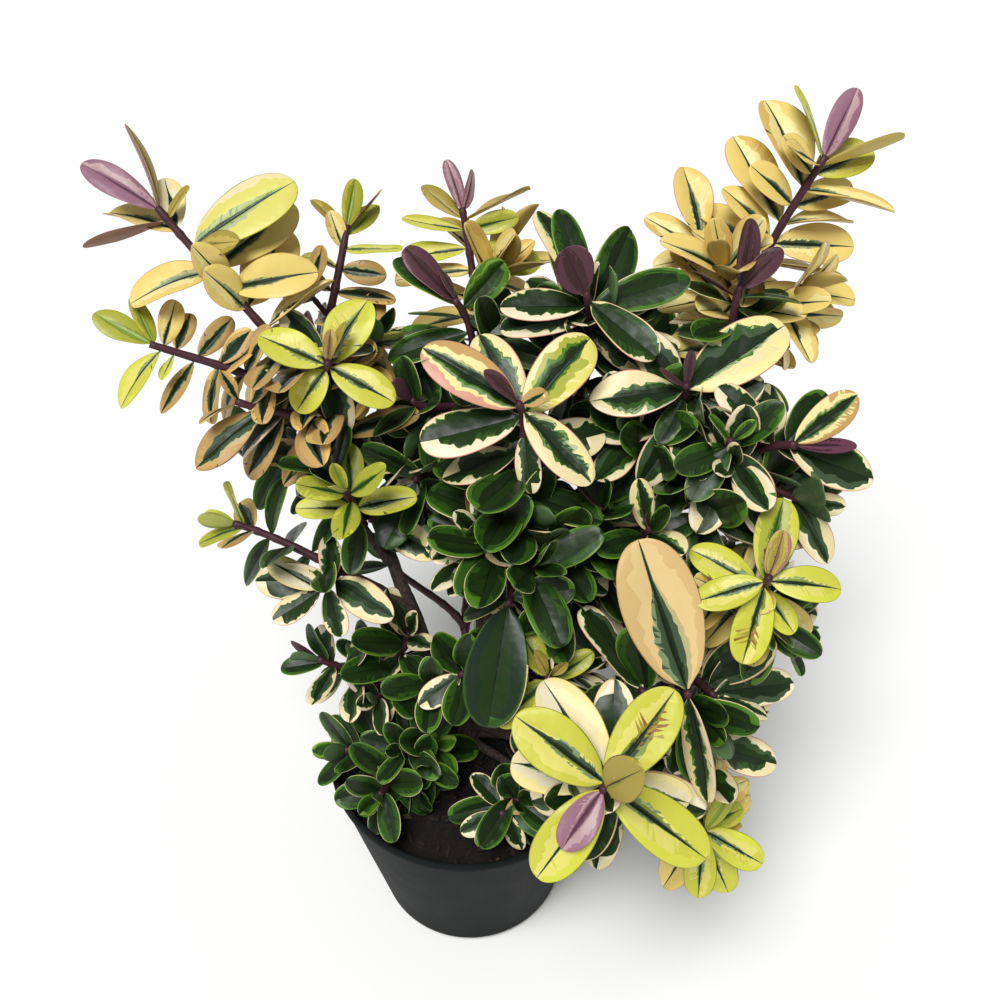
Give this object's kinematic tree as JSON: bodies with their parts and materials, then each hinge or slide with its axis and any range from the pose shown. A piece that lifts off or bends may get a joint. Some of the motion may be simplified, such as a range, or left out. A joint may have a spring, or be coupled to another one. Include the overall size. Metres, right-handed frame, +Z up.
{
  "type": "potted hebe shrub",
  "caption": "Bushy variegated evergreen shrub: leafy shoots of opposite leaves on woody boughs from a short trunk, in a round tapered nursery pot that stands flat.",
  "frame": {"origin": "centre of the pot's flat underside", "axes": "+Z up out of the pot, -Y towards the plant's front, +X to the right seen from the front"},
  "size_m": [0.3203, 0.3029, 0.3581],
  "materials": {
    "pot": "matt black-grey moulded polypropylene",
    "soil": "moist peaty compost with fine chips",
    "bark": "dull grey-brown bark, burgundy and smooth on the young twigs",
    "leaf_lime": "young lime-yellow leaf with a green streak, satin",
    "leaf_butter": "butter-yellow leaf with a feathered green centre, satin",
    "leaf_edged": "dark green leaf with a cream and pink margin, glossy",
    "leaf_green": "plain dark green leaf, glossy"
  },
  "bodies": {
    "root": {"pot": "pot", "soil": "soil", "trunk": "bark", "bough_left": "bark", "bough_centre": "bark", "bough_right": "bark", "bough_front": "bark", "bough_left_inner": "bark", "bough_left_mid": "bark", "bough_left_low": "bark", "bough_left_foot": "bark", "bough_left_rim": "bark", "bough_centre_left": "bark", "bough_centre_front": "bark", "bough_centre_low": "bark", "bough_back_centre": "bark", "bough_centre_right": "bark", "bough_right_inner": "bark", "bough_right_mid": "bark", "bough_right_front": "bark", "bough_front_big": "bark", "bough_front_mid": "bark", "bough_front_low": "bark", "bough_right_low": "bark", "bough_right_side": "bark", "bough_back_left": "bark", "bough_back_mid": "bark", "bough_back_right": "bark", "bough_back_low": "bark", "mass_front": "leaf_lime", "mass_front_big": "leaf_butter", "mass_centre_front": "leaf_edged", "mass_centre": "leaf_edged", "mass_centre_right": "leaf_edged", "mass_centre_left": "leaf_green", "mass_centre_low": "leaf_green", "mass_right_mid": "leaf_edged", "mass_right_front": "leaf_lime", "mass_right": "leaf_butter", "mass_right_inner": "leaf_green", "mass_left": "leaf_butter", "mass_left_inner": "leaf_lime", "mass_left_mid": "leaf_lime", "mass_left_low": "leaf_lime", "mass_left_foot": "leaf_edged", "mass_left_rim": "leaf_green", "mass_front_mid": "leaf_lime", "mass_right_low": "leaf_lime", "mass_front_low": "leaf_edged", "mass_back_centre": "leaf_butter", "mass_right_side": "leaf_green", "mass_back_left": "leaf_green", "mass_back_mid": "leaf_green", "mass_back_right": "leaf_green", "mass_back_low": "leaf_green"}
  },
  "joints": []
}
